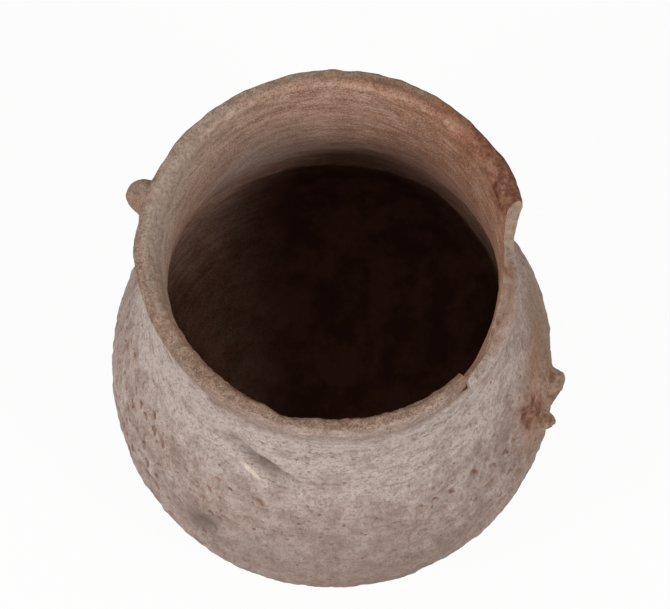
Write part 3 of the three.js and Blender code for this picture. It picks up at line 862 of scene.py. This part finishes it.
class FiredClay(Finish):
    """The jar's clay. Its masks and the patterns that several colours share are laid out once."""

    def __init__(self, name):
        super().__init__(name)
        for mask in MASKS:
            setattr(self, mask, self.mask(mask))
        tall = (1, 1, 0.5)
        self.drift = self.clouds(42, 3)
        self.mottle = self.clouds(5, 4, 0.62, tall)
        self.speckle = self.clouds(1.3, 3, 0.6, tall)
        self.grit = self.clouds(0.7, 2, 0.7)

    def outer_colour(self):
        """Grey-buff clay, lighter where it was wiped or rubbed and where light is painted, darker low at the
        front with painted shade, with grit, specks of temper, a smoke blotch, painted shade under the welt,
        and brown dents that are partly painted shade.
        """
        streaks = self.clouds(1.3, 3, 0.6, (0.25, 0.25, 0.8))
        # Lighter where the clay was wiped or rubbed, and painted light from the crest mask.
        pale_and_lit = self.mottle.rising(0.42, 0.68) * 0.33 + self.wiped * 0.65 + self.crest * 0.4
        colour = self.coats(
            self.blend(self.drift.rising(0.38, 0.62), GREY_CLAY, WARM_CLAY),
            (pale_and_lit, RUBBED_AND_LIT_CLAY),
            (self.brown * (0.5 + 0.5 * self.drift.rising(0.35, 0.6)), BROWNED_CLAY),
            # Painted shade, darker towards the bottom of the front.
            (self.low * 0.5, PAINTED_SHADE_CLAY),
            (self.mottle.falling(0.3, 0.5) * 0.4, DARK_MOTTLE),
            (self.speckle.falling(0.3, 0.52) * (0.5 + 0.25 * self.brown), DARK_SPECKLE),
            (streaks.falling(0.3, 0.5) * self.wiped * 0.42, DARK_STREAK),
            (self.pit * 0.4, DARK_PIT),
            (self.grit.falling(0.34, 0.5) * 0.5, DARK_GRIT))
        # Brown in the finger dents: partly stain, partly painted shade in the pits.
        dent_stain_and_shade = (self.dent + self.speckle * 0.35).rising(0.36, 0.8)
        dent_stain_and_shade = dent_stain_and_shade * self.clouds(9, 3, 0.6).rising(0.33, 0.52) * 0.8
        chance = self.node("ShaderNodeSeparateColor", {}, {0: self.grains(4.2, "Color")})
        temper = self.grains(4.2).falling(0.1, 0.24) * chance.rising(0.5, 0.56)
        tan = self.blend(self.mottle.rising(0.38, 0.62), ROOT_BROWN, ROOT_TAN)
        tan = self.blend(self.speckle.falling(0.34, 0.54) * 0.6, tan, ROOT_SPECKLE)
        return self.coats(
            colour,
            (dent_stain_and_shade, self.blend(self.speckle.rising(0.4, 0.6), DENT_BROWN, DENT_TAN)),
            (temper * 0.6, DARK_TEMPER),
            # Smoke, and painted shade in the welt's hollow.
            (self.smoke * (0.6 + 0.3 * self.mottle.rising(0.35, 0.6)), SMOKE_AND_SHADE),
            (self.root * 0.9, tan))

    def lip_colour(self):
        """Browner clay with bright grains, where hands and lids rubbed the lip."""
        worn = self.clouds(3.5, 4, 0.65).rising(0.38, 0.62)
        return self.coats(
            self.blend(worn, LIP_GREY, LIP_PALE),
            (self.brown * 0.8, self.blend(worn, LIP_BROWN, LIP_TAN)),
            (self.grit.falling(0.36, 0.54) * 0.75, LIP_GRIT),
            (self.grains(1.2).falling(0.09, 0.17) * 0.65, LIP_GRAIN))

    def lining_colour(self):
        """Redder clay with level lines where the inside was wiped, under soot and painted shade."""
        pits = self.clouds(1.7, 2, 0.6, (1, 1, 2.5))
        wipes = self.clouds(1.5, 3, 0.6, (0.12, 0.12, 0.7))
        return self.coats(
            self.blend(self.clouds(9, 3).rising(0.35, 0.65), LINING_RED, LINING_PINK),
            (self.brown, LINING_BROWN),
            # Lighter clay, and painted light on the band at the back-left.
            (self.crest * 0.8, LINING_PALE_AND_LIT),
            (pits.falling(0.32, 0.5) * 0.4, LINING_PIT),
            (wipes.falling(0.34, 0.52) * 0.42, WIPED_DARK),
            (wipes.rising(0.52, 0.64) * 0.3, WIPED_PALE),
            (self.grit.falling(0.36, 0.52) * 0.45, LINING_GRIT),
            (self.grit.rising(0.52, 0.62) * 0.25, LINING_GRAIN),
            # Soot and painted shade over the lining.
            (self.soot, self.blend(self.clouds(16, 4, 0.6).rising(0.4, 0.62), SOOT_AND_SHADE_DARK, SOOT_AND_SHADE_BROWN)))

    def torn_colour(self):
        torn = self.blend(self.clouds(2.2, 4, 0.65).rising(0.3, 0.7), TORN_BROWN, TORN_PALE)
        return self.blend(self.grit.falling(0.34, 0.52) * 0.35, torn, TORN_GRIT)

    def finished(self):
        blots = self.clouds(3.5, 4, 0.65).rising(0.32, 0.62)
        rusty = self.rust * (0.6 + 0.4 * blots) * (0.7 + 0.3 * self.speckle.rising(0.34, 0.54))
        rust_colour = self.blend((self.rust * 0.8 + blots * 0.6).rising(0.5, 1.2), RUST, DEEP_RUST)
        colour = self.coats(
            self.outer_colour(),
            (self.lip * 0.9, self.lip_colour()),
            (self.inner, self.lining_colour()),
            (self.bevel * 0.7, self.blend(self.speckle.rising(0.35, 0.6), BEVEL_GREY, BEVEL_PALE)),
            (self.broken, self.torn_colour()),
            (rusty, rust_colour),
            (self.scrape.rising(0.3, 0.75) * 0.75, SCRAPED))
        coarse = self.grains(1.4).falling(0.0, 0.3) * (0.25 + self.lip * 0.6 + self.broken * 0.5)
        tooth = self.grit * 0.9 + self.speckle * 0.5 + coarse
        bump = self.node("ShaderNodeBump", {}, {"Strength": 0.9, "Distance": 0.00028, "Height": tooth})
        shader = self.node("ShaderNodeBsdfPrincipled", {}, {
            "Base Color": colour, "Roughness": 0.93 - self.wiped * 0.1,
            "Specular IOR Level": 0.25, "Normal": bump}, "BSDF")
        self.node("ShaderNodeOutputMaterial", {}, {"Surface": shader})
        return self.material


# The jar, laid from its base to its rim.
SLOTS = ("base_clay", "coil_clay", "neck_clay", "rim_clay", "handle_clay")
finishes = {slot: FiredClay(slot.replace("_", " ")).finished() for slot in SLOTS}

rope_long = BODY_TURNS / BODY_ROPES
for laid in range(BODY_ROPES):
    lay_rope(f"body_coil_{laid + 1:02d}", laid * rope_long, (laid + 1) * rope_long, "coil_clay")
rope_long = (NECK_TURNS - 1) / NECK_ROPES
for laid in range(NECK_ROPES):
    first = BODY_TURNS + laid * rope_long
    lay_rope(f"neck_coil_{laid + 1}", first, first + rope_long, "neck_clay")
lay_rope("levelling_coil", ALL_TURNS - 1, ALL_TURNS, "neck_clay")
lay_rim("rim_clay")

lay_start_disc("base_clay")
press_lug("rim_clay")
break_stump("handle_strand_stub_right", "handle_clay",
            degrees=-9.0, wide=15.0, tall=13.5, reach=5.8, skew=2.2, seed=201)
break_stump("handle_strand_stub_left", "handle_clay",
            degrees=-20.0, wide=9.5, tall=9.5, reach=6.0, skew=0.8, seed=221)
smear_root("handle_clay")


# The floor shows white to the camera and in reflections, but keeps the jar's shadow.
def white_where_seen(name, dull, share):
    made = Finish(name)
    seen = made.seen_by("Is Camera Ray", "Is Glossy Ray", "Is Transmission Ray")
    white = made.node("ShaderNodeEmission", {}, {"Color": (1, 1, 1, 1), "Strength": 1.0})
    plain = made.node("ShaderNodeBsdfDiffuse", {}, {"Color": dull})
    mixed = made.node("ShaderNodeMixShader", {}, {0: seen * share, 1: plain, 2: white})
    made.node("ShaderNodeOutputMaterial", {}, {"Surface": mixed})
    return made.material


bpy.ops.object.select_all(action="DESELECT")
bpy.ops.mesh.primitive_plane_add(size=6.0, location=(0, 0, 0))
floor = bpy.context.active_object
floor.name = "floor"
floor.data.materials.append(white_where_seen("floor white", (0.7, 0.69, 0.68, 1), 0.95))

# The room: white where it is seen, and a dim, slightly warm light for the jar.
world = bpy.context.scene.world or bpy.data.worlds.new("studio")
bpy.context.scene.world = world
world.use_nodes = True
sky = Nodes(world.node_tree)
dim = sky.node("ShaderNodeBackground", {}, {"Color": (1.0, 0.98, 0.97, 1), "Strength": 0.4})
bright = sky.node("ShaderNodeBackground", {}, {"Color": (1, 1, 1, 1)})
seen = sky.seen_by("Is Camera Ray", "Is Transmission Ray")
sky.node("ShaderNodeOutputWorld", {}, {
    "Surface": sky.node("ShaderNodeMixShader", {}, {0: seen, 1: dim, 2: bright})})


def soft_lamp(name, place, across, power, tone):
    """A round lamp that looks at the middle of the jar."""
    bpy.ops.object.light_add(type="AREA", location=place)
    lamp = bpy.context.active_object
    lamp.name = name
    lamp.data.shape = "DISK"
    lamp.data.size = across
    lamp.data.energy = power
    lamp.data.color = tone
    lamp.rotation_euler = (Vector((0, 0, 0.12)) - Vector(place)).to_track_quat("-Z", "Y").to_euler()


soft_lamp("key", (0.90, -0.75, 1.21), 0.4, 11.2, (1.0, 0.98, 0.96))
soft_lamp("fill", (-1.1, -0.7, 1.18), 0.6, 15, (1.0, 0.98, 0.97))

# The camera, at the photograph's height and distance, turned down a little to centre its frame.
RIM_MIDDLE = Vector((0, 0, JAR_HEIGHT * MM))
DISTANCE = 0.9
TIPPED = math.radians(70)
FOCAL_PIXELS, PICTURE_WIDTH = 2527.0, 670
PIXELS_RIGHT, PIXELS_DOWN = 1.7, 55.4
ahead = Vector((0, math.cos(TIPPED), -math.sin(TIPPED)))
up = Vector((0, math.sin(TIPPED), math.cos(TIPPED)))
towards = ahead + Vector((1, 0, 0)) * (PIXELS_RIGHT / FOCAL_PIXELS) - up * (PIXELS_DOWN / FOCAL_PIXELS)
bpy.ops.object.camera_add(location=RIM_MIDDLE - ahead * DISTANCE)
camera = bpy.context.active_object
camera.rotation_euler = towards.to_track_quat("-Z", "Y").to_euler()
camera.data.sensor_width = 36
camera.data.lens = FOCAL_PIXELS * camera.data.sensor_width / PICTURE_WIDTH
camera.data.clip_start = 0.05
bpy.context.scene.camera = camera

bpy.context.scene.view_settings.view_transform = "Standard"
